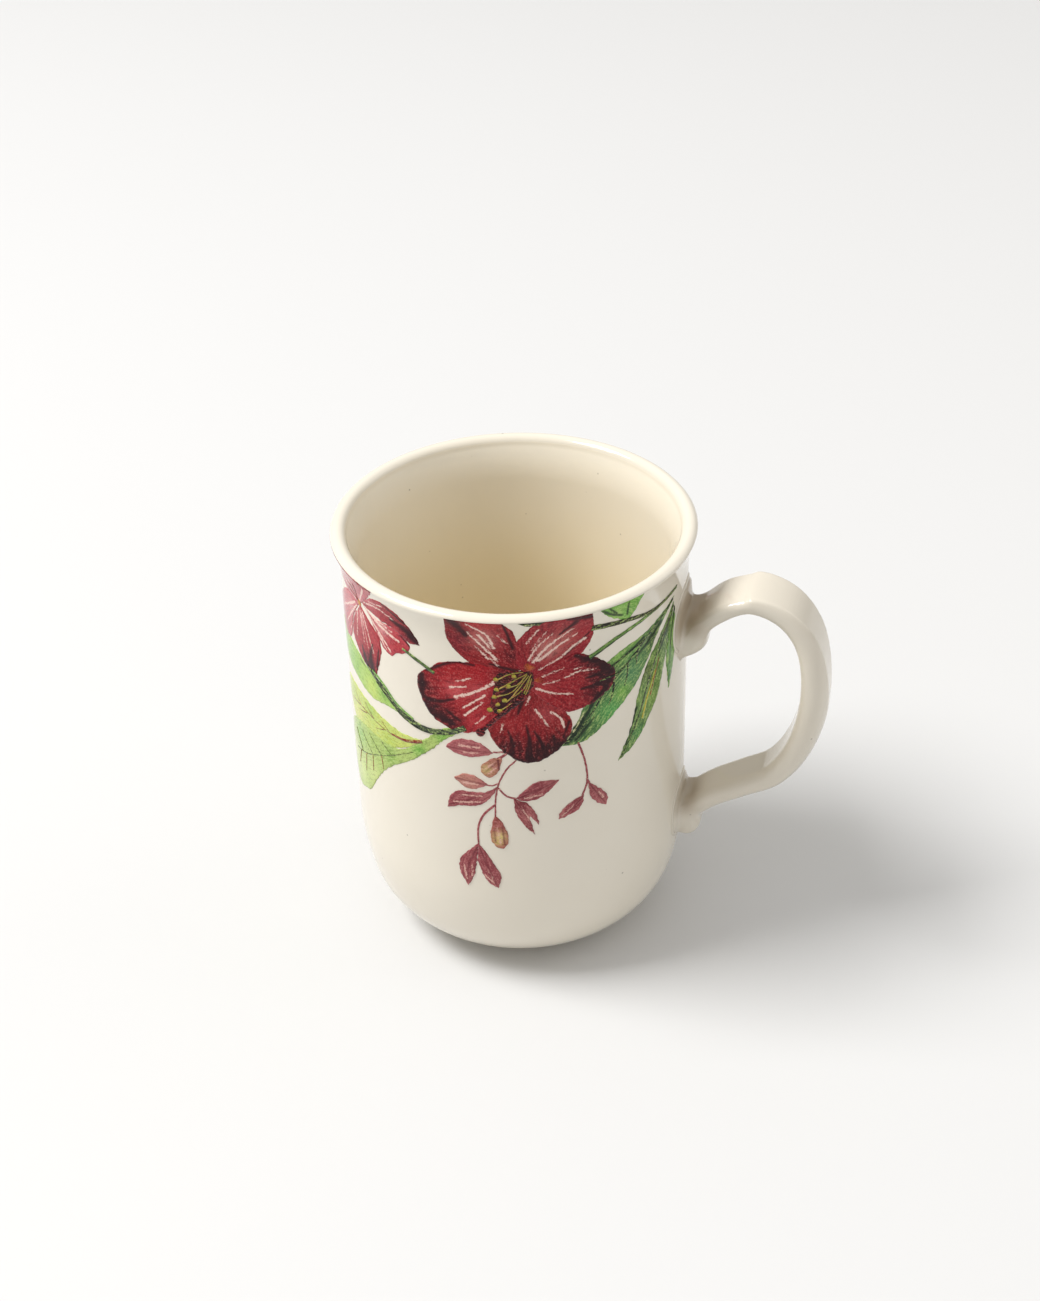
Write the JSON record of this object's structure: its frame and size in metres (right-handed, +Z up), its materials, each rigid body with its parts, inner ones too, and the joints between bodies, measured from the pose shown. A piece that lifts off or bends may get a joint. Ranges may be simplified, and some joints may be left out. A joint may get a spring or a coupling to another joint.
{
  "type": "handled mug",
  "caption": "Straight-sided glazed earthenware mug with a rounded bottom, flared lip, strap handle and floral print.",
  "frame": {"origin": "on the cup's axis, in the plane that the foot ring stands on", "axes": "+Z up along the cup's axis, +X towards the handle"},
  "size_m": [0.1126, 0.082, 0.1054],
  "materials": {
    "glazed_body": "gloss",
    "glazed_handle": "gloss",
    "slip": "gloss",
    "red_print": "gloss",
    "green_print": "gloss",
    "mauve_print": "gloss"
  },
  "bodies": {
    "root": {"cup_body": "glazed_body", "handle": "glazed_handle", "upper_handle_joint": "slip", "lower_handle_joint": "slip", "front_flower_print": "red_print", "front_side_flower_print": "red_print", "front_left_leaves_print": "green_print", "front_right_leaves_print": "green_print", "front_sprig_print": "mauve_print", "rear_flower_print": "red_print", "rear_side_flower_print": "red_print", "rear_left_leaves_print": "green_print", "rear_right_leaves_print": "green_print", "rear_sprig_print": "mauve_print"}
  },
  "joints": []
}
